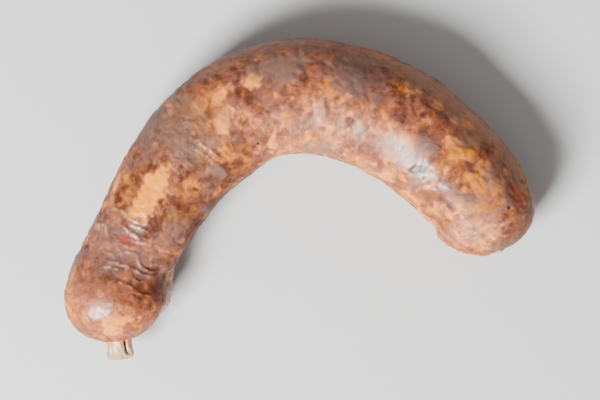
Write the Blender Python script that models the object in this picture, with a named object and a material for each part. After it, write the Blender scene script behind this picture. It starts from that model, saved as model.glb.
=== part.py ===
"""A fresh sausage link: coarse stuffing in a thin natural casing, bent into a horseshoe.

It lies on its side on a table (z = 0) and sags a little under its own weight, so that it rests
on a narrow flat strip. One end closes in a short tail of gathered casing, the other is blunt.
Units are metres and +Z is up. X runs across the horseshoe, whose open side faces -Y, and the
origin is under the middle of the link's box.
"""

import math

import bmesh
import bpy
from mathutils import Matrix, Vector

MM = 0.001

# The middle line seen from above, from the tail's root round to the blunt end's pole, and the
# half width of the stuffed casing there: (x, y, half width), in millimetres.
ROUTE = [
    (-59.2, -46.2, 16.4),
    (-60.2, -31.5, 16.4),
    (-56.7, -19.2, 15.1),
    (-45.9, 0.8, 16.3),
    (-33.0, 17.8, 17.9),
    (-14.8, 31.0, 18.5),
    (7.0, 33.0, 18.8),
    (27.6, 26.4, 18.9),
    (44.8, 14.2, 18.1),
    (57.9, -0.6, 17.4),
    (64.8, -17.4, 17.0),
]
TAIL_DOME = 15.0 * MM  # how far from its pole the tail end reaches its full width
BLUNT_DOME = 15.5 * MM  # the same for the blunt end
FIRST_RING = 0.1 * MM  # half width of the ring that closes the blunt end

TAIL_LENGTH = 6.0 * MM
TAIL_NECK = 4.0 * MM  # half width of the gathered casing where it leaves the link
TAIL_FLARE = 4.4 * MM  # half width of its cut, spread end
TAIL_FLATNESS = 0.62  # height over width of the cut end
TAIL_DROOP = 2.2 * MM  # how far the cut end hangs below the neck

SAG = 0.94  # height of the section over its width
SINK = 1.2 * MM  # how much of the round underside is pressed flat

SIDES = 30
BODY_RINGS = 58
TAIL_RINGS = 4
STEPS_PER_SPAN = 24  # samples of the route between two of its points


def smooth(a, b, c, d, t):
    """A point between b and c on the smooth curve through a, b, c and d."""
    return 0.5 * (
        2 * b
        + (c - a) * t
        + (2 * a - 5 * b + 4 * c - d) * t * t
        + (3 * b - a - 3 * c + d) * t * t * t
    )


def sample_route():
    """The route as closely spaced (x, y, half width) vectors in metres, and their distances along it."""
    points = [Vector(p) * MM for p in ROUTE]
    points = [2 * points[0] - points[1]] + points + [2 * points[-1] - points[-2]]
    samples = []
    for i in range(1, len(points) - 2):
        for step in range(STEPS_PER_SPAN):
            samples.append(smooth(*points[i - 1 : i + 3], step / STEPS_PER_SPAN))
    samples.append(points[-2])
    distances = [0.0]
    for before, after in zip(samples, samples[1:]):
        distances.append(distances[-1] + (after - before).xy.length)
    return samples, distances


SAMPLES, DISTANCES = sample_route()
LENGTH = DISTANCES[-1]


def along(distance):
    """The route's (x, y, half width) that far from the tail's root."""
    for i in range(1, len(DISTANCES)):
        if DISTANCES[i] >= distance:
            share = (distance - DISTANCES[i - 1]) / (DISTANCES[i] - DISTANCES[i - 1])
            return SAMPLES[i - 1].lerp(SAMPLES[i], share)
    return SAMPLES[-1].copy()


def dome(distance, depth):
    """The share of its full width that a rounded end has, that far from its pole."""
    left = 1 - min(distance / depth, 1.0)
    return math.sqrt(1 - left * left)


def closed_down_to(neck, share):
    """The same rounding, but down to a neck of that share of the full width instead of a point."""
    return math.hypot(share, neck * math.sqrt(1 - share * share))


def section(centre, heading, half_width, half_height):
    """The matrix that turns a unit circle into one upright section of the link."""
    across = Vector((heading.y, -heading.x, 0)).normalized()
    matrix = Matrix.Identity(4)
    matrix.col[0].xyz = across * half_width
    matrix.col[1].xyz = Vector((0, 0, half_height))
    matrix.col[2].xyz = heading.normalized()
    matrix.translation = centre
    return matrix


def centre_height(half_width):
    return half_width * SAG - SINK


def body_sections():
    """Sections from the tail's neck to the blunt end, closest together where the ends round off."""
    made = []
    for i in range(BODY_RINGS + 1):
        distance = LENGTH * (1 - math.cos(math.pi * i / BODY_RINGS)) / 2
        distance = (distance + LENGTH * i / BODY_RINGS) / 2
        here = along(distance)
        behind = along(max(distance - MM, 0.0))
        ahead = along(min(distance + MM, LENGTH))
        full = here.z
        tail_end = closed_down_to(TAIL_NECK / full, dome(distance, TAIL_DOME))
        blunt_end = closed_down_to(FIRST_RING / full, dome(LENGTH - distance, BLUNT_DOME))
        half_width = full * tail_end * blunt_end
        centre = Vector((here.x, here.y, centre_height(full)))
        heading = (ahead - behind).xy.to_3d()
        made.append(section(centre, heading, half_width, half_width * SAG))
    return made


def tail_sections():
    """Sections of the casing's tail, from its cut end back towards the neck."""
    root = along(0.0)
    heading = (along(MM) - root).xy.to_3d().normalized()
    neck = Vector((root.x, root.y, centre_height(root.z)))
    made = []
    for i in range(TAIL_RINGS, 0, -1):
        share = i / TAIL_RINGS
        centre = neck - heading * TAIL_LENGTH * share
        centre.z -= TAIL_DROOP * share * share
        half_width = TAIL_NECK + (TAIL_FLARE - TAIL_NECK) * share * share
        flatness = SAG + (TAIL_FLATNESS - SAG) * share
        made.append(section(centre, heading, half_width, half_width * flatness))
    return made


def loft(sections):
    """A closed tube: one ring of edges, extruded from each section to the next."""
    bm = bmesh.new()
    bmesh.ops.create_circle(bm, segments=SIDES, radius=1.0, matrix=sections[0])
    ring = list(bm.edges)
    first = list(ring)
    for before, after in zip(sections, sections[1:]):
        made = bmesh.ops.extrude_edge_only(bm, edges=ring)["geom"]
        ring = [e for e in made if isinstance(e, bmesh.types.BMEdge) and e.is_boundary]
        verts = [v for v in made if isinstance(v, bmesh.types.BMVert)]
        bmesh.ops.transform(bm, matrix=after @ before.inverted(), verts=verts)
    bmesh.ops.contextual_create(bm, geom=first)
    bmesh.ops.contextual_create(bm, geom=ring)
    bmesh.ops.recalc_face_normals(bm, faces=bm.faces)
    return bm


def press_flat(bm):
    """The underside meets the table: nothing of it is below z = 0."""
    for v in bm.verts:
        v.co.z = max(v.co.z, 0.0)


def centre_over_origin(bm):
    """The origin is under the middle of the link's box."""
    xs = [v.co.x for v in bm.verts]
    ys = [v.co.y for v in bm.verts]
    middle = Vector((min(xs) + max(xs), min(ys) + max(ys), 0)) / 2
    bmesh.ops.translate(bm, vec=-middle, verts=bm.verts)


def moist_casing():
    material = bpy.data.materials.new("moist_casing")
    material.use_nodes = True
    shader = material.node_tree.nodes["Principled BSDF"]
    shader.inputs["Base Color"].default_value = (0.42, 0.19, 0.13, 1)
    shader.inputs["Roughness"].default_value = 0.28
    shader.inputs["Metallic"].default_value = 0.0
    return material


def sausage_link():
    bm = loft(tail_sections() + body_sections())
    press_flat(bm)
    centre_over_origin(bm)
    mesh = bpy.data.meshes.new("sausage_link")
    bm.to_mesh(mesh)
    bm.free()
    mesh.shade_smooth()
    mesh.materials.append(moist_casing())
    link = bpy.data.objects.new("sausage_link", mesh)
    bpy.context.scene.collection.objects.link(link)
    return link


def main():
    for old in list(bpy.data.objects):
        bpy.data.objects.remove(old)
    sausage_link()


main()
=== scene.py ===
"""A fresh sausage link in its natural casing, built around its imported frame.

The frame gives the link's box and its plain solid. This file makes what is seen: the stuffed casing
with its lumps, folds and mottled stuffing, the cut and twisted tail, a strip of loose casing beside it,
the gathered far end, and a pale studio. Units are metres, and lengths named in millimetres are
multiplied by MM. "Along" is the distance from the tail's root, and "around" is the angle from the top
of the link, positive towards the outside of its bend.
"""

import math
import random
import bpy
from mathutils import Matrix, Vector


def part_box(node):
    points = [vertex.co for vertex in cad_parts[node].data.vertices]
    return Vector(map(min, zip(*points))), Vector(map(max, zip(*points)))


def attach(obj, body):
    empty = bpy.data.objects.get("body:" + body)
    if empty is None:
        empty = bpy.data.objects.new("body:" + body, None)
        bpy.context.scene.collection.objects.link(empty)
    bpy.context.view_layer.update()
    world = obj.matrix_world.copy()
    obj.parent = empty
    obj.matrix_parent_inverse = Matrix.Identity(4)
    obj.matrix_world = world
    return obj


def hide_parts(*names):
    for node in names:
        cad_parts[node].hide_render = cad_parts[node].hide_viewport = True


bl_info = {
    "name": "Fresh Sausage Link",
    "version": (1, 0, 0),
    "blender": (4, 5, 0),
    "location": "View3D > Sidebar > Sausage",
    "description": "Models a fresh sausage link in moist natural casing around its frame",
    "category": "Add Mesh",
}

import bmesh
import bpy
import numpy as np
from bpy.props import FloatProperty, FloatVectorProperty, IntProperty, PointerProperty
from mathutils import Matrix, Vector, kdtree, noise

MM = 0.001
NODE = "sausage_link"

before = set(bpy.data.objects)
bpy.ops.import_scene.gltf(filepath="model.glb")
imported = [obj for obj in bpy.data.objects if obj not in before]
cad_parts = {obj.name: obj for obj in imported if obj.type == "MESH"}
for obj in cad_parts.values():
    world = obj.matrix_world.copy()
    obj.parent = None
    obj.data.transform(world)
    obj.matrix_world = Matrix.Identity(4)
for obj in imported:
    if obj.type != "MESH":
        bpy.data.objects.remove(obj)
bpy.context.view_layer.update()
LOW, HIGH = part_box(NODE)

# The middle line seen from above, from the tail's root round to the blunt end's pole, and the half
# width of the stuffed casing there: (x, y, half width), in millimetres from the box's low corner.
ROUTE = [
    (17.5, 6.3, 16.4),
    (16.5, 21.0, 16.4),
    (20.0, 33.3, 15.1),
    (30.8, 53.3, 16.3),
    (43.7, 70.3, 17.9),
    (61.9, 83.5, 18.5),
    (83.7, 85.5, 18.8),
    (104.3, 78.9, 18.9),
    (121.5, 66.7, 18.1),
    (134.6, 51.9, 17.4),
    (141.5, 35.1, 17.0),
]
TAIL_DOME = 15.0 * MM  # how far from its pole the tail end reaches its full width
BLUNT_DOME = 15.5 * MM
FIRST_RING = 0.1 * MM
TAIL_LENGTH = 6.0 * MM
TAIL_NECK = 4.0 * MM
TAIL_DROOP = 2.2 * MM
SAG = 0.94  # height of the section over its width
SINK = 1.2 * MM  # how much of the round underside is pressed flat
STEPS_PER_SPAN = 24
STATION_STEPS = 3000  # fine steps that the rings' places are chosen from

# The tail's wall, from inside the link, over the rounded lip and into the dimple where the casing was
# cut: reach as a share of the tail's length, and half width as a share of the neck's.
TAIL_WALL = [
    (-0.6, 1.35),
    (-0.4, 1.2),
    (-0.2, 1.08),
    (-0.05, 1.0),
    (0.1, 0.97),
    (0.25, 0.97),
    (0.4, 0.99),
    (0.55, 1.03),
    (0.68, 1.07),
    (0.78, 1.08),
    (0.86, 1.06),
    (0.92, 1.01),
    (0.97, 0.92),
    (1.0, 0.78),
    (0.995, 0.62),
    (0.96, 0.48),
    (0.90, 0.36),
    (0.84, 0.2),
]
TAIL_LIP = 13  # the row of TAIL_WALL that reaches farthest

# The knot at the blunt end, from inside the link outwards: reach past the end's pole and half width (mm).
KNOT = [
    (-3.6, 2.6),
    (-2.9, 2.2),
    (-2.3, 1.7),
    (-1.6, 1.55),
    (-0.9, 1.7),
    (-0.4, 1.6),
    (-0.1, 1.1),
    (0.0, 0.3),
]
KNOT_HOLLOW = 2.4 * MM  # depth of the hollow that the knot sits in
KNOT_HOLLOW_RADIUS = 2.6 * MM

FILM_START = 5.0  # where the strip of empty casing begins along the link (mm)
FILM_LENGTH = 36.0  # how long it is (mm)
FILM_WALL = 0.12 * MM

SOFTBOX_OFFSET = Vector((-0.54, -0.62, 0.76))  # from the middle of the link
SOFTBOX_SIDE = 0.46
ROOM_TINT = (1.0, 0.99, 0.97, 1.0)
VIEW_FILL = 0.80  # the link's share of the view's width
FLOOR_RADIUS = 2.0
FLOOR_RIM = 0.8  # radius of the curve from the floor up into the wall
WALL_TOP = 1.2

# Bands of slack casing with creases at random places: share of the length and spread along it (mm), middle
# and spread around the link (degrees), how many creases, and their usual length and height (mm).
SLACK_BANDS = [
    (0.155, 6.0, 2, 46, 16, 7.0, 0.20),
    (0.376, 8.0, -12, 28, 6, 7.0, 0.08),
    (0.600, 13.0, -34, 10, 10, 5.0, 0.07),
    (0.958, 4.0, -16, 28, 5, 8.0, 0.08),
]

# Single creases: share of the length, degrees around, length (mm), turn from crosswise (degrees), bow (mm)
# and height (mm).
CREASES = [
    (0.207, 6, 9.5, 5, 0.6, 0.26),
    (0.198, 4, 8.0, 3, 0.4, 0.24),
    (0.181, 3, 9.0, 0, -0.5, 0.34),
    (0.172, 46, 10.0, -12, 1.4, 0.34),
    (0.152, -4, 8.0, 12, 0.9, 0.26),
    (0.139, -30, 8.5, -10, -1.6, 0.36),
    (0.128, -26, 8.0, -6, -1.2, 0.26),
    (0.118, 8, 9.0, 6, 0.8, 0.20),
    (0.357, -10, 12.0, 8, 0.6, 0.13),
    (0.371, -16, 14.0, 4, -0.5, 0.17),
    (0.386, -22, 12.0, -2, 0.6, 0.13),
    (0.402, -30, 9.0, -8, 0.4, 0.10),
    (0.378, 18, 7.0, 24, 0.8, 0.12),
    (0.792, -20, 8.0, 28, 1.0, 0.05),
    (0.806, -27, 6.0, 40, 0.8, 0.05),
    (0.938, -14, 12.0, 2, 0.4, 0.15),
    (0.950, -16, 13.0, 0, 0.5, 0.17),
    (0.963, -12, 11.0, -3, 0.5, 0.14),
]
CREASE_WIDTH = 0.62 * MM

# Hollows (deeper than 0) and swellings pressed into the link: share of the length, degrees around, length
# and width of the spot, and depth (mm).
DENTS = [
    (0.142, -84, 1.6, 9.0, 1.1),
    (0.908, -88, 4.0, 13.0, 0.9),
    (0.945, -80, 7.0, 12.0, -0.6),
    (0.205, 88, 9.0, 12.0, 0.5),
    (0.330, -50, 6.0, 9.0, 0.4),
    (0.620, 75, 10.0, 12.0, 0.4),
    (0.755, -27, 13.0, 6.0, 0.55),
    (0.058, 12, 5.5, 4.5, 0.30),
]

# What shows through the casing at known places, with a few patches of painted highlight and painted
# shade among them: kind, share of the length, degrees around, length along, width around (mm), turn
# (degrees) and strength.
SPOTS = [
    ("gold", 0.258, 10, 19.0, 8.5, 4, 1.2),
    ("gold", 0.216, 11, 6.0, 7.0, 0, 0.75),
    ("fat", 0.236, 62, 7.0, 4.5, 20, 0.7),
    ("fat", 0.030, 3, 6.0, 17.0, 0, 0.8),
    ("fat", 0.420, 0, 9.5, 6.0, 40, 1.25),
    ("fat", 0.438, 24, 7.5, 5.5, 10, 0.9),
    ("fat", 0.489, 22, 7.0, 6.0, 0, 1.0),
    ("fat", 0.810, 17, 7.0, 4.5, 30, 0.8),
    ("fat", 0.869, 22, 6.0, 7.0, 0, 0.8),
    ("fat", 0.900, 20, 5.0, 8.0, 15, 1.0),
    ("gold", 0.828, 6, 7.0, 6.0, 0, 0.75),
    ("gold", 0.842, 22, 6.0, 5.0, 30, 0.75),
    ("gold", 0.874, 8, 8.0, 6.5, 10, 0.85),
    ("gold", 0.892, 40, 6.0, 5.0, 0, 0.7),
    ("gold", 0.407, 30, 8.0, 7.0, 0, 0.7),
    ("gold", 0.075, 64, 15.0, 9.0, 0, 0.65),
    ("fat", 0.960, -25, 16.0, 18.0, 0, 0.60),
    # This long pale strip along the inner edge of the bend is painted light, where that side faces the soft
    # light.
    ("fat", 0.560, -52, 46.0, 9.0, 0, 0.60),
    ("gold", 0.597, 14, 4.0, 7.0, 0, 0.9),
    ("gold", 0.706, 33, 6.0, 4.0, 20, 0.8),
    ("gold", 0.805, 48, 7.0, 5.0, 0, 0.9),
    ("red", 0.170, 3, 3.2, 8.5, 0, 1.1),
    ("red", 0.103, -54, 6.0, 5.0, 0, 0.75),
    ("red", 0.599, 60, 3.5, 5.0, 0, 0.7),
    ("red", 0.292, 40, 7.0, 5.0, 0, 0.40),
    ("red", 0.312, 26, 4.0, 4.5, 20, 0.45),
    ("red", 0.560, -12, 6.0, 5.0, 0, 0.30),
    ("red", 0.925, 38, 9.0, 6.0, 0, 0.6),
    ("red", 0.868, 36, 8.0, 6.0, 0, 0.40),
    ("red", 0.912, 27, 6.0, 5.0, 0, 0.40),
    ("dark", 0.469, 43, 2.6, 3.0, 0, 0.8),
    # These two dark marks are a painted reflection: the dark that a fold of the casing reflects within the
    # highlight.
    ("dark", 0.797, -27, 8.0, 3.4, 40, 0.85),
    ("dark", 0.793, -14, 6.5, 2.6, 25, 0.55),
    ("dark", 0.935, 23, 1.5, 1.5, 0, 1.0),
    ("dark", 0.447, -42, 1.3, 1.1, 0, 1.0),
    # These two darken the outer side of the bend: darker stuffing, and also painted shade where that side
    # faces away from the light.
    ("dark", 0.605, 48, 8.0, 9.0, 0, 0.45),
    ("dark", 0.652, 30, 11.0, 7.0, 0, 0.45),
    ("olive", 0.362, 76, 7.0, 4.0, 0, 0.9),
    ("olive", 0.352, -10, 4.0, 4.0, 0, 0.8),
    ("olive", 0.365, 30, 20.0, 26.0, 0, 0.40),
    ("olive", 0.235, -32, 9.0, 9.0, 0, 0.50),
    ("olive", 0.835, 42, 12.0, 9.0, 0, 0.45),
    ("grey", 0.357, 42, 24.0, 22.0, 0, 0.60),
    ("grey", 0.350, 0, 18.0, 14.0, 0, 0.45),
    ("grey", 0.319, -40, 11.0, 9.0, 0, 0.45),
    ("grey", 0.526, 30, 18.0, 11.0, 0, 0.95),
    ("grey", 0.625, 28, 19.0, 15.0, 0, 0.95),
    ("grey", 0.655, 52, 20.0, 9.0, 0, 0.5),
    ("grey", 0.715, 62, 14.0, 8.0, 0, 0.6),
    ("grey", 0.800, 70, 56.0, 14.0, 0, 0.42),
    ("grey", 0.520, 66, 60.0, 11.0, 0, 0.45),
    ("grey", 0.150, 5, 16.0, 36.0, 0, 0.50),
    ("grey", 0.213, -40, 17.0, 13.0, 0, 0.60),
    ("milk_and_highlight", 0.905, 76, 26.0, 8.0, 0, 0.60),
    ("milk_and_highlight", 0.780, 60, 64.0, 18.0, 0, 0.62),
    ("milk_and_highlight", 0.560, 55, 60.0, 16.0, 0, 0.42),
    ("milk_and_highlight", 0.560, -38, 52.0, 16.0, 0, 0.34),
    # These four milky patches are painted highlight: the hazy streaks and the broad haze where the soft light
    # reflects.
    ("milk_and_highlight", 0.588, -20, 4.0, 11.0, 0, 0.80),
    ("milk_and_highlight", 0.630, -24, 3.0, 10.0, 8, 0.65),
    ("milk_and_highlight", 0.660, -26, 3.5, 11.0, -6, 0.65),
    ("milk_and_highlight", 0.755, -24, 27.0, 11.0, 0, 0.62),
    ("milk_and_highlight", 0.052, 14, 11.0, 10.0, 0, 0.45),
    ("milk_and_highlight", 0.952, -20, 18.0, 20.0, 0, 0.45),
    ("wet", 0.750, -26, 34.0, 17.0, 0, 1.3),
    ("wet", 0.062, 9, 19.0, 12.0, 0, 1.2),
    ("wet", 0.590, -34, 5.0, 10.0, 0, 0.9),
    ("wet", 0.640, -34, 4.0, 9.0, 0, 0.8),
    ("wet", 0.375, -10, 24.0, 16.0, 0, 0.9),
    ("wet", 0.160, 0, 22.0, 26.0, 0, 0.8),
    ("wet", 0.430, 20, 10.0, 10.0, 0, 0.7),
]
KINDS = ["red", "dark", "olive", "grey", "milk_and_highlight", "wet"]
FAT_WARMTH = {"fat": 0.35, "gold": 0.95}  # from 0, cream, to 1, orange
FAT_FROM = 0.60  # the darkest tone of a piece of fat
LEAN_TO = 0.62  # the palest tone of a piece of lean
NEIGHBOURS = 4  # how many pieces are blended at each vertex


# ---------------------------------------------------------------------------------------------------
# Sizes and colours that can be changed
# ---------------------------------------------------------------------------------------------------


def length_setting(name, description, millimetres):
    default = millimetres * MM
    return FloatProperty(
        name=name, description=description, default=default, subtype="DISTANCE", unit="LENGTH"
    )


def share_setting(name, description, default):
    return FloatProperty(
        name=name, description=description, default=default, min=0.0, max=1.0, subtype="FACTOR"
    )


def colour_setting(name, description, rgb):
    return FloatVectorProperty(
        name=name, description=description, default=rgb, size=3, min=0.0, max=1.0, subtype="COLOR"
    )


class SausageSizes(bpy.types.PropertyGroup):
    """How lumpy, folded and finely modelled the link is"""

    sides: IntProperty(name="Sides", description="Faces around the casing", default=200, min=24, max=400)
    rings: IntProperty(name="Rings", description="Faces along the casing", default=480, min=60, max=900)
    sway: length_setting("Sway", "Height of the broad unevenness of the stuffed casing", 0.55)
    lump: length_setting("Lumps", "How far the ground pieces press the casing out", 0.24)
    grain: length_setting("Grain", "How far the finest pieces press the casing out", 0.14)
    piece_size: length_setting("Piece size", "Usual size of a coarse piece of stuffing", 5.2)
    crumb_size: length_setting("Crumb size", "Usual size of a fine piece of stuffing", 1.7)
    fat_share: share_setting("Fat", "Share of the pieces that are fat", 0.25)
    pleat: length_setting("Pleats", "Depth of the pleats where the casing gathers at the ends", 0.55)


class SausageColours(bpy.types.PropertyGroup):
    """What the casing and the stuffing look like"""

    brown: colour_setting("Brown lean", "Darkest lean meat", (0.078, 0.021, 0.008))
    mauve: colour_setting("Mauve lean", "Dark lean meat under thick casing", (0.115, 0.042, 0.030))
    pink: colour_setting("Pink lean", "Fresh lean meat", (0.32, 0.092, 0.050))
    tan: colour_setting("Tan lean", "Lean meat smeared with fat", (0.27, 0.080, 0.022))
    cream: colour_setting("Cream fat", "Pale fat", (0.78, 0.27, 0.060))
    orange: colour_setting("Orange fat", "Fat coloured by spice", (0.67, 0.205, 0.008))
    # Also painted as shade in the tail's fold and the dimple of its cut.
    red: colour_setting("Red", "Pepper and blood spots", (0.17, 0.014, 0.008))
    # Also painted as the dark reflection in a fold within the highlight, and as shade on the outer side of
    # the bend.
    dark: colour_setting("Dark", "Olive skins, pepper and deep bruised spots", (0.035, 0.018, 0.018))
    olive: colour_setting("Olive", "Yellow-green flecks", (0.24, 0.125, 0.010))
    grey: colour_setting("Grey film", "Thick translucent casing", (0.155, 0.085, 0.070))
    # Also the colour of the painted highlight: the glints on the crests and the haze where the soft light
    # reflects.
    milk_and_highlight: colour_setting("Milky film", "Slack casing that has turned white", (0.58, 0.30, 0.18))
    tail: colour_setting("Tail", "Cut casing of the tail", (0.44, 0.31, 0.14))


class SausageStudio(bpy.types.PropertyGroup):
    """The floor, the lights and the camera"""

    floor: colour_setting("Floor", "Pale floor", (0.58, 0.578, 0.575))
    key_power: FloatProperty(
        name="Key light", description="Power of the soft light", default=52.0, unit="POWER"
    )
    sky: FloatProperty(name="Room", description="Brightness of the room's even light", default=0.4)
    camera_height: length_setting("Camera height", "How far above the floor the camera is", 900.0)


# ---------------------------------------------------------------------------------------------------
# The middle line and its sections
# ---------------------------------------------------------------------------------------------------


def smooth(a, b, c, d, t):
    """A point between b and c on the smooth curve through a, b, c and d."""
    return 0.5 * (
        2 * b
        + (c - a) * t
        + (2 * a - 5 * b + 4 * c - d) * t * t
        + (3 * b - a - 3 * c + d) * t * t * t
    )


def sample_route():
    """The route as closely spaced (x, y, half width) rows in the frame, and their distances along it."""
    corner = Vector((LOW.x, LOW.y, 0))
    points = [Vector(p) * MM + corner for p in ROUTE]
    points = [2 * points[0] - points[1]] + points + [2 * points[-1] - points[-2]]
    samples = []
    for i in range(1, len(points) - 2):
        for step in range(STEPS_PER_SPAN):
            samples.append(smooth(*points[i - 1 : i + 3], step / STEPS_PER_SPAN))
    samples.append(points[-2])
    distances = [0.0]
    for before, after in zip(samples, samples[1:]):
        distances.append(distances[-1] + (after - before).xy.length)
    return np.array(samples), np.array(distances)


SAMPLES, DISTANCES = sample_route()
LENGTH = float(DISTANCES[-1])


def along(distance):
    """The route's (x, y, half width) that far from the tail's root."""
    return Vector([float(np.interp(distance, DISTANCES, column)) for column in SAMPLES.T])


def heading(distance):
    """The level direction of the route there, towards the blunt end."""
    behind = along(max(distance - MM, 0.0))
    ahead = along(min(distance + MM, LENGTH))
    return (ahead - behind).xy.to_3d().normalized()


def dome(distance, depth):
    """The share of its full width that a rounded end has, that far from its pole."""
    left = 1 - min(distance / depth, 1.0)
    return math.sqrt(1 - left * left)


def closed_down_to(neck, share):
    """The same rounding, but down to a neck of that share of the full width instead of a point."""
    return math.hypot(share, neck * math.sqrt(1 - share * share))


def girth(distance):
    """The half width of the link there, its rounded ends included."""
    full = along(distance).z
    tail_end = closed_down_to(TAIL_NECK / full, dome(distance, TAIL_DOME))
    blunt_end = closed_down_to(FIRST_RING / full, dome(LENGTH - distance, BLUNT_DOME))
    return full * tail_end * blunt_end


def centre_of(distance):
    """The middle of the link's section there, as it lies on the floor."""
    here = along(distance)
    return Vector((here.x, here.y, here.z * SAG - SINK))


def section(centre, direction, half_width, half_height):
    """The matrix that turns a unit circle into one upright section of the link."""
    across = Vector((direction.y, -direction.x, 0)).normalized()
    matrix = Matrix.Identity(4)
    matrix.col[0].xyz = across * half_width
    matrix.col[1].xyz = Vector((0, 0, half_height))
    matrix.col[2].xyz = direction.normalized()
    matrix.translation = centre
    return matrix


def link_section(distance):
    half_width = girth(distance)
    return section(centre_of(distance), heading(distance), half_width, half_width * SAG)


def surface_point(distance, degrees, proud=0.0):
    """The point of the smooth link there, moved out by proud."""
    turn = math.radians(degrees)
    reach = 1 + proud / max(girth(distance), MM)
    point = link_section(distance) @ Vector((-math.sin(turn) * reach, math.cos(turn) * reach, 0))
    point.z = max(point.z, 0.0)
    return point


def ring_stations(count):
    """Distances along the route of rings that are evenly apart over the skin, closer where it wrinkles,
    and how far over the skin each is from the tail's root."""
    turn = np.linspace(0, math.pi, STATION_STEPS)
    fine = LENGTH * (1 - np.cos(turn)) / 2
    radius = np.array([girth(d) for d in fine])
    step = np.hypot(np.diff(fine), np.diff(radius))
    crowding = np.ones(len(step))
    for place, spread, _, _, _, _, high in SLACK_BANDS:
        crowding += 3.0 * high * bell(fine[1:], place * LENGTH, 1.6 * spread * MM)
    walked = np.concatenate([[0], np.cumsum(step * crowding)])
    skin = np.concatenate([[0], np.cumsum(step)])
    chosen = np.linspace(0, walked[-1], count)
    return np.interp(chosen, walked, fine), np.interp(chosen, walked, skin)


# ---------------------------------------------------------------------------------------------------
# Modelling helpers
# ---------------------------------------------------------------------------------------------------


def bell(value, middle, spread):
    """1 at the middle, falling smoothly to 0 on both sides."""
    return np.exp(-(((value - middle) / spread) ** 2))


def ease(value, low, high):
    """0 below low and 1 above high, eased between."""
    t = np.clip((value - low) / (high - low), 0, 1)
    return t * t * (3 - 2 * t)


def noise_field(points, size, salt):
    """Smooth noise from about -1 to 1, with lumps of that size, at each point. The salt only makes one
    field different from another."""
    scaled = (points / size + salt * 13.7).tolist()
    return np.array([noise.noise(p) for p in scaled])


def tube(sections, marks, sides):
    """A grid rolled round the sections into a closed tube. Its vertices remember their section's mark and
    how far around they are."""
    bm = bmesh.new()
    around_layer = bm.verts.layers.float.new("around")
    along_layer = bm.verts.layers.float.new("along")
    rows = len(sections) - 1
    bmesh.ops.create_grid(bm, x_segments=rows, y_segments=sides, size=0.5)
    for v in bm.verts:
        row = round((v.co.x + 0.5) * rows)
        turn = math.tau * (v.co.y + 0.5) - math.pi
        v[around_layer] = math.degrees(turn)
        v[along_layer] = marks[row]
        v.co = sections[row] @ Vector((-math.sin(turn), math.cos(turn), 0))
    seam = [v for v in bm.verts if v.is_boundary]
    bmesh.ops.remove_doubles(bm, verts=seam, dist=0.001 * MM)
    bmesh.ops.holes_fill(bm, edges=[e for e in bm.edges if e.is_boundary], sides=0)
    bmesh.ops.recalc_face_normals(bm, faces=bm.faces)
    return bm


def finish_mesh(bm, name, material):
    """The bmesh as a smooth object with that material."""
    mesh = bpy.data.meshes.new(name)
    bm.to_mesh(mesh)
    bm.free()
    mesh.shade_smooth()
    mesh.materials.append(material)
    piece = bpy.data.objects.new(name, mesh)
    bpy.context.scene.collection.objects.link(piece)
    return piece


def join_to_link(piece):
    """The piece goes with the link."""
    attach(piece, "root")


def read(mesh, layer):
    """One of the numbers that tube gave to the vertices."""
    values = np.empty(len(mesh.vertices), np.float32)
    mesh.attributes[layer].data.foreach_get("value", values)
    return values.astype(float)


def vectors(collection, key):
    values = np.empty(len(collection) * 3, np.float32)
    collection.foreach_get(key, values)
    return values.reshape(-1, 3).astype(float)


def move_vertices(mesh, points):
    mesh.vertices.foreach_set("co", points.astype(np.float32).ravel())
    mesh.update()


def paint(mesh, name, *masks):
    """Stores up to three masks as one colour attribute."""
    layer = mesh.color_attributes.new(name, "FLOAT_COLOR", "POINT")
    values = np.zeros((len(mesh.vertices), 4), np.float32)
    values[:, 3] = 1.0
    for channel, mask in enumerate(masks):
        values[:, channel] = mask
    layer.data.foreach_set("color", values.ravel())


class Skin:
    """The casing's vertices, with what the relief and the stuffing's pattern are worked out from."""

    def __init__(self, mesh, stations, walked):
        self.points = vectors(mesh.vertices, "co")
        self.normals = vectors(mesh.vertex_normals, "vector")
        self.along = read(mesh, "along")
        self.around = read(mesh, "around")
        self.from_tail = np.interp(self.along, stations, walked)
        self.from_blunt = walked[-1] - self.from_tail
        half_width = np.interp(self.along, DISTANCES, SAMPLES[:, 2])
        self.arc = np.radians(self.around) * half_width
        self.share = self.along / LENGTH
        # How the edges of spots wander.
        fine = noise_field(self.points, 1.6 * MM, 31)
        coarse = noise_field(self.points, 4.5 * MM, 32)
        self.ragged = 0.40 * fine + 0.45 * coarse

    def away_from(self, place, degrees, turn=0.0):
        """How far each vertex is from a spot on the link, along it and around it, in axes turned by turn
        degrees."""
        half_width = float(np.interp(place * LENGTH, DISTANCES, SAMPLES[:, 2]))
        x = self.along - place * LENGTH
        y = self.arc - math.radians(degrees) * half_width
        c, s = math.cos(math.radians(turn)), math.sin(math.radians(turn))
        return x * c + y * s, y * c - x * s


# ---------------------------------------------------------------------------------------------------
# The stuffing that shows through the casing
# ---------------------------------------------------------------------------------------------------


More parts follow.
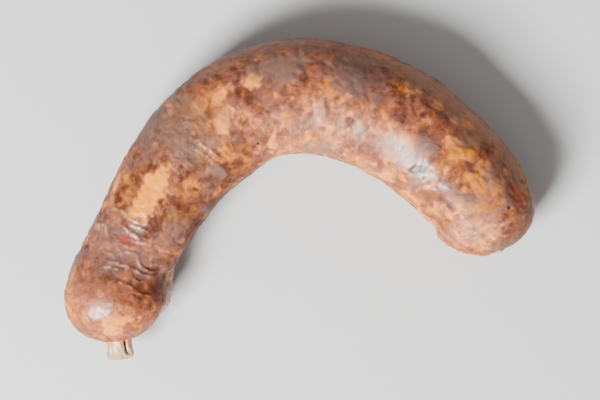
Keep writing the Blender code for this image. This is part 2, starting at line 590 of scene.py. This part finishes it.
class Pieces:
    """Ground pieces of one size, packed under the casing, and how much each vertex belongs to the nearest."""

    def __init__(self, skin, size, salt):
        self.draw = random.Random(salt)
        area = LENGTH * 2 * math.pi * np.mean(SAMPLES[:, 2])
        self.count = int(area / size**2)
        # The vertices are pulled about first, so the pieces' borders wander.
        pulled = skin.points.copy()
        for reach, spread, shift in ((0.80, 1.6, 0), (0.35, 0.5, 3)):
            pull = [noise_field(skin.points, spread * size, salt + shift + k) for k in (1, 2, 3)]
            pulled += reach * size * np.stack(pull, axis=1)
        chosen = [self.draw.randrange(len(skin.points)) for _ in range(self.count)]
        self.places = skin.points[chosen]
        tree = kdtree.KDTree(self.count)
        for i, place in enumerate(self.places):
            tree.insert(place, i)
        tree.balance()
        found = [tree.find_n(p, NEIGHBOURS) for p in pulled.tolist()]
        self.nearest = np.array([[f[1] for f in row] for row in found])
        gaps = np.array([[f[2] for f in row] for row in found]) / size
        gaps -= gaps[:, :1]
        self.inside = gaps[:, 1]
        # Some borders are sharp and others are smeared.
        blur = 0.20 + 0.18 * noise_field(skin.points, 3 * size, salt + 9)
        weights = np.exp(-gaps / np.clip(blur, 0.06, 0.45)[:, None])
        self.weights = weights / weights.sum(axis=1, keepdims=True)

    def spread(self, values):
        """Each vertex takes its own piece's value, blended with its neighbours' near their borders."""
        return (self.weights * np.asarray(values, float)[self.nearest]).sum(axis=1)

    def chances(self):
        return np.array([self.draw.random() for _ in range(self.count)])

    def tones(self, fat_share):
        """From 0, the darkest lean, past FAT_FROM to 1, the palest fat. Fat pieces gather in clumps."""
        clump = noise_field(self.places, 18 * MM, 7)
        fatty = self.chances() < fat_share * (1 + 1.3 * clump)
        fat = FAT_FROM + (1 - FAT_FROM) * self.chances() ** 1.3
        return np.where(fatty, fat, LEAN_TO * self.chances())

    def relief(self):
        """Rounded pieces with soft valleys between them."""
        return ease(self.inside, 0.0, 0.55) - 0.5


def spot_mask(skin, place, degrees, length_mm, width_mm, turn):
    """1 in the middle of an uneven oval patch, 0.5 at its edge and 0 outside it."""
    along_it, around_it = skin.away_from(place, degrees, turn)
    x, y = along_it / (length_mm * MM / 2), around_it / (width_mm * MM / 2)
    return 1 - ease(np.hypot(x, y) + skin.ragged, 0.55, 1.45)


def ground_stuffing(skin, sizes):
    """The stuffing's tone and warmth at each vertex, and its layers of pieces, the finer ones over the
    coarser ones, each with how much of it is seen."""
    middling = 0.5 * (sizes.piece_size + sizes.crumb_size)
    tone, warm = np.zeros(len(skin.points)), np.zeros(len(skin.points))
    layers = []
    for size, cover, salt in (
        (sizes.piece_size, 1.0, 5),
        (middling, 0.62, 8),
        (sizes.crumb_size, 0.42, 6),
    ):
        pieces = Pieces(skin, size, salt)
        seen = pieces.spread(pieces.chances() < cover)
        tone += seen * (pieces.spread(pieces.tones(sizes.fat_share)) - tone)
        warm += seen * (pieces.spread(pieces.chances()) - warm)
        layers.append((pieces, seen))
    return tone, warm, layers


def shade_by_place(skin, tone, warm):
    """The inner side of the bend is paler, as painted light where it faces the soft light. Both ends are
    paler, and the leg is darker. The leg's stuffing is warmer than the bend's. The outer side and the tail's
    dome are more even than the rest."""
    share = skin.share
    inner_side = np.sin(np.radians(-skin.around))
    # Painted light: the inner side of the bend, which faces the soft light, is made paler.
    tone += 0.20 * np.clip(inner_side, 0, 1) * ease(share, 0.36, 0.46)
    tone -= 0.16 * ease(share, 0.06, 0.12) * (1 - ease(share, 0.34, 0.42))
    tone += 0.11 * (1 - ease(share, 0.05, 0.09)) + 0.06 * ease(share, 0.86, 0.90)
    warm += 0.45 * ease(share, 0.17, 0.22) * (1 - ease(share, 0.40, 0.46))
    warm -= 0.18 * ease(share, 0.46, 0.52) * (1 - ease(share, 0.76, 0.82))
    outer = ease(skin.around, 25, 60) * ease(share, 0.38, 0.46)
    tone += 0.50 * outer * (0.44 - tone)
    tone += 0.45 * (1 - ease(share, 0.08, 0.13)) * (0.52 - tone)


def stuffing_masks(skin, sizes):
    """How much of each kind shows at each vertex, from 0 to 1, with the stuffing's tone and warmth, and
    its layers."""
    tone, warm, layers = ground_stuffing(skin, sizes)
    shade_by_place(skin, tone, warm)
    masks = {kind: np.zeros(len(skin.points)) for kind in KINDS}
    coarse, fine = layers[0][0], layers[-1][0]
    for kind, pieces, strength, chance in (
        ("red", fine, 0.6, 0.012),
        ("dark", fine, 0.8, 0.008),
        ("olive", fine, 0.7, 0.012),
        ("grey", coarse, 0.8, 0.14),
        ("milk_and_highlight", coarse, 0.35, 0.08),
    ):
        masks[kind] = strength * pieces.spread(pieces.chances() < chance)
    for kind, place, degrees, length_mm, width_mm, turn, strength in SPOTS:
        mask = strength * spot_mask(skin, place, degrees, length_mm, width_mm, turn)
        if kind in FAT_WARMTH:
            tone = np.maximum(tone, mask)
            warm += mask * (FAT_WARMTH[kind] - warm)
        else:
            masks[kind] = np.maximum(masks[kind], mask)
    masks["wet"] *= 1 - 0.7 * np.clip(masks["dark"], 0, 1)
    masks["tone"], masks["warm"] = tone, warm
    return masks, layers


# ---------------------------------------------------------------------------------------------------
# The casing's relief
# ---------------------------------------------------------------------------------------------------


def scattered_creases():
    """Random creases of the slack bands, in the same terms as CREASES."""
    draw = random.Random(17)
    made = []
    for place, spread, middle, reach, count, length_mm, high in SLACK_BANDS:
        for _ in range(count):
            made.append((
                place + draw.gauss(0, spread) * MM / LENGTH,
                draw.gauss(middle, reach),
                length_mm * draw.uniform(0.5, 1.4),
                draw.gauss(0, 9),
                draw.gauss(0, 0.8),
                high * draw.uniform(0.4, 1.25),
            ))
    return made


def creases(skin):
    """The casing's creases: their height at each vertex, and how near it is to a crest, which the material
    paints paler as a glint.
    """
    height = np.zeros(len(skin.points))
    crest = np.zeros(len(skin.points))
    wander = 1.1 * MM * noise_field(skin.points, 5 * MM, 41)
    for place, degrees, length_mm, turn, bow, high in CREASES + scattered_creases():
        across_it, along_it = skin.away_from(place, degrees, turn)
        reach = along_it / (length_mm * MM / 2)
        off = (across_it + bow * MM * reach**2 + wander) / CREASE_WIDTH
        taper = np.exp(-(reach**4))
        ridge = np.exp(-(off**2))
        height += high * MM * taper * (ridge - 0.35 * np.exp(-((off - 1.7) ** 2)))
        crest = np.maximum(crest, taper * ridge * min(1.0, 0.4 + 2 * high))
    return height, crest


def pleats(skin, from_pole, count, depth, reach, salt):
    """Gathers that run into an end's pole."""
    wander = 0.5 * noise_field(skin.points, 6 * MM, salt)
    crest = (1 - np.abs(np.sin(math.pi * (count * skin.around / 360 + wander)))) ** 1.2
    uneven = 0.6 + 0.4 * noise_field(skin.points, 5 * MM, salt + 1)
    return depth * uneven * (crest - 0.4) * np.exp(-((from_pole / reach) ** 1.5))


def dents(skin):
    """The height of the link's hollows and swellings at each vertex."""
    height = np.zeros(len(skin.points))
    for place, degrees, length_mm, width_mm, depth in DENTS:
        along_it, around_it = skin.away_from(place, degrees)
        x, y = along_it / (length_mm * MM), around_it / (width_mm * MM)
        height -= depth * MM * np.exp(-(x * x + y * y))
    return height


def relief(skin, masks, layers, folds, sizes):
    """How far each vertex stands out from the smooth link. The wet casing is tight, with flatter lumps,
    on the tail's dome and past the middle of the bend."""
    firm = 0.6 * (1 - ease(skin.share, 0.08, 0.11)) + ease(skin.share, 0.45, 0.60)
    taut = 1 - 0.85 * np.clip(masks["wet"], 0, 1) * firm
    height = sizes.sway * noise_field(skin.points, 19 * MM, 21)
    height += 0.4 * sizes.sway * noise_field(skin.points, 9 * MM, 22)
    for (pieces, seen), lump in zip(layers, (sizes.lump, 0.75 * sizes.lump, sizes.grain)):
        height += lump * seen * pieces.relief() * (0.8 + 0.5 * masks["tone"]) * taut
    height += 0.25 * sizes.grain * noise_field(skin.points, 1.1 * MM, 23) * taut
    height += folds + dents(skin)
    height += pleats(skin, skin.from_tail, 13, sizes.pleat, 6.5 * MM, 51)
    height += pleats(skin, skin.from_blunt, 15, sizes.pleat, 7.0 * MM, 61)
    height -= KNOT_HOLLOW * np.exp(-((skin.from_blunt / KNOT_HOLLOW_RADIUS) ** 2))
    return height


# ---------------------------------------------------------------------------------------------------
# Materials
# ---------------------------------------------------------------------------------------------------


class Recipe:
    """A material's nodes, put together one ingredient at a time."""

    def __init__(self, name):
        self.material = bpy.data.materials.new(name)
        self.material.use_nodes = True
        self.tree = self.material.node_tree
        self.shader = self.tree.nodes["Principled BSDF"]
        self.place = self.tree.nodes.new("ShaderNodeTexCoord").outputs["Object"]

    def put(self, value, socket):
        """Links the value to the socket, or sets the socket to it."""
        if isinstance(value, bpy.types.NodeSocket):
            self.tree.links.new(value, socket)
        elif socket.type == "RGBA":
            socket.default_value = (*value, 1.0)
        else:
            socket.default_value = value

    def finish(self, **values):
        """Sets the shader's sockets, named with _ for a space."""
        for name, value in values.items():
            self.put(value, self.shader.inputs[name.replace("_", " ")])
        return self.material

    def masks(self, name):
        """The three masks of one of the piece's colour attributes."""
        source = self.tree.nodes.new("ShaderNodeAttribute")
        source.attribute_name = name
        parts = self.tree.nodes.new("ShaderNodeSeparateColor")
        self.put(source.outputs["Color"], parts.inputs[0])
        return parts.outputs[0], parts.outputs[1], parts.outputs[2]

    def calculate(self, operation, *values):
        """The result of one Math node."""
        made = self.tree.nodes.new("ShaderNodeMath")
        made.operation = operation
        for value, socket in zip(values, made.inputs):
            self.put(value, socket)
        return made.outputs[0]

    def noise(self, size_mm, detail=2.0, distortion=0.0):
        """Noise from 0 to 1 with lumps of about that size."""
        made = self.tree.nodes.new("ShaderNodeTexNoise")
        self.put(self.place, made.inputs["Vector"])
        made.inputs["Scale"].default_value = 1 / (size_mm * MM)
        made.inputs["Detail"].default_value = detail
        made.inputs["Distortion"].default_value = distortion
        return made.outputs["Fac"]

    def sum(self, *terms):
        """Adds (value, weight) terms and plain values."""
        total = 0.0
        for term in terms:
            value, weight = term if isinstance(term, tuple) else (term, 1.0)
            total = self.calculate("MULTIPLY_ADD", value, weight, total)
        return total

    def window(self, value, low, high, out_low=0.0, out_high=1.0):
        """0 below low and 1 above high, eased between, or the two values given instead."""
        made = self.tree.nodes.new("ShaderNodeMapRange")
        made.interpolation_type = "SMOOTHSTEP"
        self.put(value, made.inputs["Value"])
        made.inputs["From Min"].default_value = low
        made.inputs["From Max"].default_value = high
        made.inputs["To Min"].default_value = out_low
        made.inputs["To Max"].default_value = out_high
        return made.outputs["Result"]

    def times(self, a, b):
        return self.calculate("MULTIPLY", a, b)

    def threads(self, size_mm, thin):
        """Thin wandering lines, 1 at their middle."""
        off_middle = self.calculate("SUBTRACT", self.noise(size_mm, 1.5, 0.6), 0.5)
        return self.window(self.calculate("ABSOLUTE", off_middle), 0.0, thin, 1.0, 0.0)

    def mix(self, factor, a, b):
        """The colour a where the factor is 0, and b where it is 1."""
        made = self.tree.nodes.new("ShaderNodeMix")
        made.data_type = "RGBA"
        # Its sockets for colours are the seventh and eighth, and its colour comes out of the third.
        self.put(factor, made.inputs[0])
        self.put(a, made.inputs[6])
        self.put(b, made.inputs[7])
        return made.outputs[2]

    def bump(self, height, distance_mm, strength):
        made = self.tree.nodes.new("ShaderNodeBump")
        made.inputs["Strength"].default_value = strength
        made.inputs["Distance"].default_value = distance_mm * MM
        self.put(height, made.inputs["Height"])
        return made.outputs["Normal"]


def moist_casing(colours):
    """Coarse stuffing seen through a thin, wet, faintly milky casing, with painted highlight on the
    creases' crests and where the soft light reflects.
    """
    r = Recipe("moist_casing")
    tone, warm, wet = r.masks("stuffing")
    red, dark, olive = r.masks("specks")
    grey, milk_and_highlight, crest = r.masks("film")
    broad = r.noise(9.0, 2.0, 0.4)
    blotch = r.noise(2.6, 3.0, 0.6)
    fine = r.noise(0.8, 3.0, 0.4)

    mottled = r.sum((tone, 1.0), (broad, 0.70), (blotch, 0.70), (fine, 0.40), -0.96)
    warmth = r.window(r.sum((warm, 0.6), (r.noise(2.0, 3.0, 0.5), 1.6), -0.7), 0.10, 0.70)
    body = r.mix(
        r.window(mottled, -0.02, 0.60),
        r.mix(warmth, colours.mauve, colours.brown),
        r.mix(warmth, colours.pink, colours.tan),
    )
    body = r.mix(r.window(mottled, 0.42, 0.92), body, r.mix(warmth, colours.cream, colours.orange))

    ragged = r.sum((blotch, 0.5), (fine, 0.4), -0.45)
    body = r.mix(r.window(r.sum(olive, ragged), 0.15, 1.1), body, colours.olive)
    body = r.mix(r.window(r.sum(grey, ragged), 0.05, 1.0, 0.0, 0.9), body, colours.grey)
    body = r.mix(r.window(r.sum(red, ragged), 0.15, 0.95, 0.0, 0.72), body, colours.red)

    webbing = r.times(r.threads(6.0, 0.05), r.window(r.noise(8.0), 0.45, 0.7))
    # Painted highlight: the creases' crests are lightened in broken spots as glints.
    glint = r.times(crest, r.window(r.noise(1.7, 2.0), 0.38, 0.62, 0.2, 1.0))
    veil_and_glints = r.sum((milk_and_highlight, 0.7), (webbing, 0.14), (glint, 0.75), (fine, 0.10), -0.06)
    # The milky film and webbing are real; the glints on the crests and the milky patches at the soft light's
    # reflection are painted highlight.
    body = r.mix(r.window(veil_and_glints, 0.05, 1.0, 0.0, 0.8), body, colours.milk_and_highlight)
    # The dark marks are pepper and olive skins, and also a painted dark reflection in a fold within the
    # highlight and painted shade on the outer side of the bend.
    body = r.mix(r.window(r.sum(dark, ragged), 0.20, 1.15), body, colours.dark)

    height = r.sum((fine, 0.40), (r.noise(0.35, 2.0), 0.16), (webbing, 0.30), (blotch, 0.35))
    rough = r.window(r.sum((blotch, 0.6), (fine, 0.4), (wet, -0.25)), 0.1, 0.7, 0.34, 0.56)
    shine = r.window(r.sum((wet, 0.8), (blotch, 0.5), -0.25), 0.0, 0.9, 0.04, 1.0)
    return r.finish(
        Base_Color=body,
        Roughness=rough,
        Normal=r.bump(height, 0.30, 0.8),
        Subsurface_Weight=0.2,
        Subsurface_Radius=(1.0, 0.38, 0.22),
        Subsurface_Scale=1.0 * MM,
        Specular_IOR_Level=0.17,
        Coat_Weight=shine,
        Coat_Roughness=0.22,
        Coat_IOR=1.33,
        IOR=1.40,
    )


def cut_casing(colours):
    """The cream stub of gathered casing, tan where it leaves the meat, with painted shade, dark red, in its
    fold and in the dimple of the cut.
    """
    r = Recipe("cut_casing")
    hollow_shade, root, _ = r.masks("hollow_shade")
    fine = r.noise(0.8, 3.0, 0.4)
    blotch = r.noise(2.2, 2.0, 0.3)
    body = r.mix(r.window(blotch, 0.35, 0.65), [0.70 * c for c in colours.tail], colours.tail)
    stained = r.window(r.sum((root, 1.0), (blotch, 0.5), -0.25), 0.1, 1.0, 0.0, 0.85)
    body = r.mix(stained, body, colours.orange)
    # Painted shade: the fold down the tail and the dimple of the cut are darkened to red.
    body = r.mix(r.window(hollow_shade, 0.20, 0.75), body, colours.red)
    return r.finish(
        Base_Color=body,
        Roughness=r.window(fine, 0.3, 0.7, 0.34, 0.5),
        Normal=r.bump(r.sum((fine, 0.6), (blotch, 0.8)), 0.3, 0.7),
        Subsurface_Weight=0.3,
        Subsurface_Radius=(1.0, 0.7, 0.45),
        Subsurface_Scale=1.0 * MM,
        Coat_Weight=0.4,
        Coat_Roughness=0.2,
    )


def slack_film(colours):
    """Empty casing: thin, wet and seen through."""
    r = Recipe("slack_film")
    fine = r.noise(1.6, 3.0, 0.5)
    body = r.mix(r.window(fine, 0.3, 0.7), colours.tan, colours.milk_and_highlight)
    return r.finish(
        Base_Color=body,
        Roughness=r.window(fine, 0.3, 0.7, 0.18, 0.4),
        Normal=r.bump(r.noise(1.5, 2.0), 0.2, 0.4),
        Alpha=0.5,
        Coat_Weight=0.5,
        Coat_Roughness=0.12,
    )


def plain(name, rgb, roughness):
    """One even colour, for the floor."""
    return Recipe(name).finish(Base_Color=rgb, Roughness=roughness)


# ---------------------------------------------------------------------------------------------------
# The pieces
# ---------------------------------------------------------------------------------------------------


class SAUSAGE_OT_stuffed_casing(bpy.types.Operator):
    """Model the stuffed casing with its lumps, folds and mottled stuffing"""

    bl_idname = "sausage.stuffed_casing"
    bl_label = "Stuffed Casing"

    def execute(self, context):
        sizes = context.scene.sausage_sizes
        stations, walked = ring_stations(sizes.rings)
        bm = tube([link_section(d) for d in stations], stations, sizes.sides)
        piece = finish_mesh(bm, "stuffed_casing", moist_casing(context.scene.sausage_colours))
        mesh = piece.data
        skin = Skin(mesh, stations, walked)
        masks, layers = stuffing_masks(skin, sizes)
        folds, crest_glints = creases(skin)
        placed = skin.points + skin.normals * relief(skin, masks, layers, folds, sizes)[:, None]
        placed[:, 2] = np.maximum(placed[:, 2], 0.0)
        move_vertices(mesh, placed)
        paint(mesh, "stuffing", masks["tone"], masks["warm"], masks["wet"])
        paint(mesh, "specks", masks["red"], masks["dark"], masks["olive"])
        # The film's third mask is the painted glint on the creases' crests.
        paint(mesh, "film", masks["grey"], masks["milk_and_highlight"], crest_glints)
        join_to_link(piece)
        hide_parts(NODE)
        return {"FINISHED"}


class SAUSAGE_OT_cut_tail(bpy.types.Operator):
    """Model the short flat stub of gathered casing at one end"""

    bl_idname = "sausage.cut_tail"
    bl_label = "Cut Tail"

    def execute(self, context):
        direction = heading(0.0)
        neck = centre_of(0.0)
        sections = []
        for reach, width in TAIL_WALL:
            droop = Vector((0, 0, TAIL_DROOP * max(reach, 0.0) ** 2))
            flatness = 0.86 - 0.30 * max(reach, 0.0)
            half_width = TAIL_NECK * width
            core = neck - direction * TAIL_LENGTH * reach - droop
            sections.append(section(core, direction, half_width, half_width * flatness))
        rows = range(len(TAIL_WALL))
        bm = tube(sections, rows, 160)
        piece = finish_mesh(bm, "cut_tail", cut_casing(context.scene.sausage_colours))
        mesh = piece.data
        points = vectors(mesh.vertices, "co")
        row = read(mesh, "along")
        reach = np.interp(row, rows, [reach for reach, _ in TAIL_WALL])
        around = np.radians(read(mesh, "around"))
        middle = np.array([list(s.translation) for s in sections])[np.round(row).astype(int)]
        twist = around + 0.5 * reach
        lobes = 0.030 * np.cos(4 * twist + 0.5) + 0.026 * np.cos(9 * twist + 1.0)
        lobes += 0.020 * np.cos(17 * twist)
        # One deep fold runs down the outside to just short of the lip.
        groove = bell(around, math.radians(-40), 0.17) * (row <= TAIL_LIP)
        groove = groove * ease(reach, -0.25, -0.05) * (1 - ease(reach, 0.62, 0.80))
        points = middle + (points - middle) * (1 + lobes - 0.42 * groove)[:, None]
        # The cut is uneven.
        ragged = 0.035 * np.cos(2 * around - 0.6) + 0.020 * np.cos(5 * around)
        points -= np.array(direction) * (TAIL_LENGTH * ragged * ease(reach, 0.4, 1.0))[:, None]
        move_vertices(mesh, points)
        dimple = ease(row, TAIL_LIP + 1, TAIL_LIP + 4)
        root = 1 - ease(reach, 0.0, 0.5)
        # The fold and the dimple of the cut are painted dark red as shade.
        paint(mesh, "hollow_shade", np.maximum(groove, 0.8 * dimple), root)
        join_to_link(piece)
        return {"FINISHED"}


class SAUSAGE_OT_loose_film(bpy.types.Operator):
    """Model the strip of empty casing that hangs beside the tail end"""

    bl_idname = "sausage.loose_film"
    bl_label = "Loose Film"

    def execute(self, context):
        bm = bmesh.new()
        bmesh.ops.create_grid(bm, x_segments=140, y_segments=16, size=0.5)
        for v in bm.verts:
            # a goes from 0 to 1 along the link, and b from the strip's buried root to its free edge.
            a, b = v.co.x + 0.5, v.co.y + 0.5
            distance = (FILM_START + FILM_LENGTH * a) * MM
            wide = math.sin(math.pi * a) ** 0.7 * (1 - 0.55 * ease(a, 0.45, 0.8))
            wide *= 1 + 0.10 * math.sin(14 * a) + 0.05 * math.sin(37 * a + 1)
            wave = 0.16 * b * math.sin(46 * a + 2 * b) + 0.10 * b * math.sin(81 * a)
            proud = (-0.45 + (2.7 * b + wave) * wide) * MM
            v.co = surface_point(distance, -72 - 14 * b * wide, proud)
            v.co.z = max(v.co.z - 0.8 * MM * b * b * wide, 0.25 * MM)
        bmesh.ops.recalc_face_normals(bm, faces=bm.faces)
        piece = finish_mesh(bm, "loose_film", slack_film(context.scene.sausage_colours))
        wall = piece.modifiers.new("Wall", "SOLIDIFY")
        wall.thickness = FILM_WALL
        wall.offset = 0.0
        join_to_link(piece)
        return {"FINISHED"}


class SAUSAGE_OT_gathered_end(bpy.types.Operator):
    """Model the knot of gathered casing at the blunt end"""

    bl_idname = "sausage.gathered_end"
    bl_label = "Gathered End"

    def execute(self, context):
        direction = heading(LENGTH)
        pole = centre_of(LENGTH)
        sections = []
        for reach, half_width in KNOT:
            core = pole + direction * reach * MM
            sections.append(section(core, direction, half_width * MM, half_width * MM))
        bm = tube(sections, [reach for reach, _ in KNOT], 64)
        piece = finish_mesh(bm, "gathered_end", cut_casing(context.scene.sausage_colours))
        mesh = piece.data
        points = vectors(mesh.vertices, "co")
        reach = read(mesh, "along")
        around = np.radians(read(mesh, "around"))
        middle = np.array(pole)[None, :] + np.array(direction)[None, :] * (reach * MM)[:, None]
        twist = around + 0.5 * reach
        gather = 1 + 0.16 * np.cos(7 * twist) + 0.08 * np.cos(12 * twist + 2)
        points = middle + (points - middle) * gather[:, None]
        move_vertices(mesh, points)
        paint(mesh, "hollow_shade", 0.0, 0.5)
        join_to_link(piece)
        return {"FINISHED"}


class SAUSAGE_OT_studio(bpy.types.Operator):
    """Set up the pale floor, the soft light, the even room and the camera above the link"""

    bl_idname = "sausage.studio"
    bl_label = "Studio"

    def execute(self, context):
        studio = context.scene.sausage_studio
        self.floor(studio)
        middle = (LOW + HIGH) / 2
        self.softbox(studio, middle)
        world = bpy.data.worlds.new("room")
        world.use_nodes = True
        background = world.node_tree.nodes["Background"]
        background.inputs["Color"].default_value = ROOM_TINT
        background.inputs["Strength"].default_value = studio.sky
        context.scene.world = world
        self.camera(context.scene, studio, middle)
        return {"FINISHED"}

    def floor(self, studio):
        """A wide floor whose rim curves up into a wall, the same from every side."""
        bm = bmesh.new()
        profile = [(0.0, 0.0), (FLOOR_RADIUS, 0.0)]
        for turn in np.linspace(0.1, math.pi / 2, 12):
            out, up = FLOOR_RIM * math.sin(turn), FLOOR_RIM - FLOOR_RIM * math.cos(turn)
            profile.append((FLOOR_RADIUS + out, up))
        profile.append((FLOOR_RADIUS + FLOOR_RIM, WALL_TOP))
        verts = [bm.verts.new((x, 0, z)) for x, z in profile]
        edges = [bm.edges.new(pair) for pair in zip(verts, verts[1:])]
        bmesh.ops.spin(
            bm,
            geom=verts + edges,
            cent=(0, 0, 0),
            axis=(0, 0, 1),
            angle=math.tau,
            steps=96,
            use_merge=True,
        )
        bmesh.ops.remove_doubles(bm, verts=bm.verts, dist=0.1 * MM)
        bmesh.ops.recalc_face_normals(bm, faces=bm.faces)
        if max(bm.faces, key=lambda f: f.calc_area()).normal.z < 0:
            bmesh.ops.reverse_faces(bm, faces=bm.faces)
        finish_mesh(bm, "floor", plain("floor", studio.floor, 0.75))

    def softbox(self, studio, target):
        light = bpy.data.lights.new("softbox", "AREA")
        light.size = SOFTBOX_SIDE
        light.energy = studio.key_power
        lamp = bpy.data.objects.new("softbox", light)
        lamp.location = target + SOFTBOX_OFFSET
        lamp.rotation_euler = (-SOFTBOX_OFFSET).to_track_quat("-Z", "Y").to_euler()
        bpy.context.scene.collection.objects.link(lamp)

    def camera(self, scene, studio, middle):
        """Straight above, with the link's box filling VIEW_FILL of the view's width."""
        camera = bpy.data.cameras.new("camera")
        camera.sensor_width = 36.0
        height = studio.camera_height - HIGH.z
        camera.lens = camera.sensor_width * height / ((HIGH.x - LOW.x) / VIEW_FILL)
        camera.clip_end = 10.0
        eye = bpy.data.objects.new("camera", camera)
        eye.location = (middle.x, middle.y, studio.camera_height)
        scene.collection.objects.link(eye)
        scene.camera = eye


class SAUSAGE_PT_panel(bpy.types.Panel):
    """The link's pieces, sizes and colours"""

    bl_label = "Fresh Sausage Link"
    bl_space_type = "VIEW_3D"
    bl_region_type = "UI"
    bl_category = "Sausage"

    def draw(self, context):
        for operator in OPERATORS:
            self.layout.operator(operator.bl_idname)
        scene = context.scene
        for group in (scene.sausage_sizes, scene.sausage_colours, scene.sausage_studio):
            box = self.layout.box()
            for name in group.__annotations__:
                box.prop(group, name)


GROUPS = [SausageSizes, SausageColours, SausageStudio]
OPERATORS = [
    SAUSAGE_OT_stuffed_casing,
    SAUSAGE_OT_cut_tail,
    SAUSAGE_OT_loose_film,
    SAUSAGE_OT_gathered_end,
    SAUSAGE_OT_studio,
]


def register():
    for cls in GROUPS + OPERATORS + [SAUSAGE_PT_panel]:
        bpy.utils.register_class(cls)
    bpy.types.Scene.sausage_sizes = PointerProperty(type=SausageSizes)
    bpy.types.Scene.sausage_colours = PointerProperty(type=SausageColours)
    bpy.types.Scene.sausage_studio = PointerProperty(type=SausageStudio)


def unregister():
    del bpy.types.Scene.sausage_studio
    del bpy.types.Scene.sausage_colours
    del bpy.types.Scene.sausage_sizes
    for cls in reversed(GROUPS + OPERATORS + [SAUSAGE_PT_panel]):
        bpy.utils.unregister_class(cls)


def main():
    register()
    bpy.ops.sausage.stuffed_casing()
    bpy.ops.sausage.cut_tail()
    bpy.ops.sausage.loose_film()
    bpy.ops.sausage.gathered_end()
    bpy.ops.sausage.studio()


if __name__ == "__main__":
    main()
